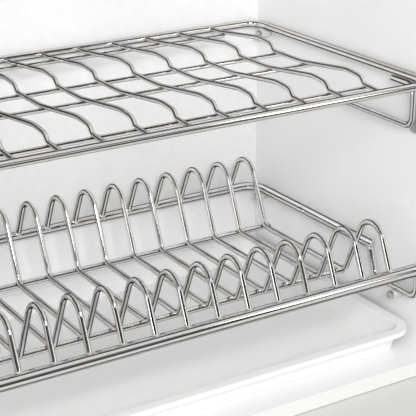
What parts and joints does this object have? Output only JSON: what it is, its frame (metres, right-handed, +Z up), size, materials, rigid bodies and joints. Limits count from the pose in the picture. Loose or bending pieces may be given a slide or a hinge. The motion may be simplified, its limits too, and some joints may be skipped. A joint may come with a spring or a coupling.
{
  "type": "dish storage cabinet",
  "caption": "Open wall cabinet for drying dishes, with a looped wire plate rack, a wavy wire cup rack above it and a drip tray below, which all come out to the front.",
  "frame": {"origin": "middle of the cabinet's underside", "axes": "+X along the width to the right, +Y from the open front to the wall, +Z up"},
  "size_m": [0.8, 0.35, 0.6],
  "materials": {
    "carcass_board": "white melamine faced board, satin",
    "back_board": "white lacquered hardboard",
    "edge_band": "white edge band",
    "polished_stainless": "electropolished stainless wire and tube",
    "plate_steel": "satin stainless sheet",
    "screw_steel": "zinc plated steel",
    "tray_plastic": "white moulded polypropylene",
    "cap_plastic": "white moulded polyethylene",
    "sleeve_rubber": "pale soft silicone"
  },
  "bodies": {
    "cabinet": {"right_side_panel": "carcass_board", "left_side_panel": "carcass_board", "bottom_panel": "carcass_board", "top_panel": "carcass_board", "back_panel": "back_board", "upper_hanging_rail": "carcass_board", "lower_hanging_rail": "carcass_board", "front_edge_bands": "edge_band", "carcass_screws": "screw_steel", "screw_caps": "cap_plastic", "support_pegs": "polished_stainless", "peg_sleeves": "sleeve_rubber", "cup_support_right": "polished_stainless", "cup_support_left": "polished_stainless", "support_plate_right": "plate_steel", "support_plate_left": "plate_steel", "support_screws": "screw_steel", "support_bushes": "cap_plastic"},
    "plate_rack": {"plate_frame": "polished_stainless", "front_leg_right": "polished_stainless", "front_leg_left": "polished_stainless", "plate_wires": "polished_stainless", "front_rail": "polished_stainless", "front_rail_caps": "polished_stainless", "floor_rod_front": "polished_stainless", "floor_rod_rear": "polished_stainless"},
    "cup_rack": {"cup_frame": "polished_stainless", "cup_wires": "polished_stainless", "cup_rod_front_outer": "polished_stainless", "cup_rod_front_inner": "polished_stainless", "cup_rod_rear_inner": "polished_stainless", "cup_rod_rear_outer": "polished_stainless"},
    "drip_tray": {"drip_tray": "tray_plastic"}
  },
  "joints": [
    {"name": "plate_rack_out", "type": "slide", "parent": "cabinet", "child": "plate_rack", "axis": [0, -1, 0], "range_m": [0, 0.34]},
    {"name": "cup_rack_out", "type": "slide", "parent": "cabinet", "child": "cup_rack", "axis": [0, -1, 0], "range_m": [0, 0.34]},
    {"name": "drip_tray_out", "type": "slide", "parent": "cabinet", "child": "drip_tray", "axis": [0, -1, 0], "range_m": [0, 0.34]}
  ]
}
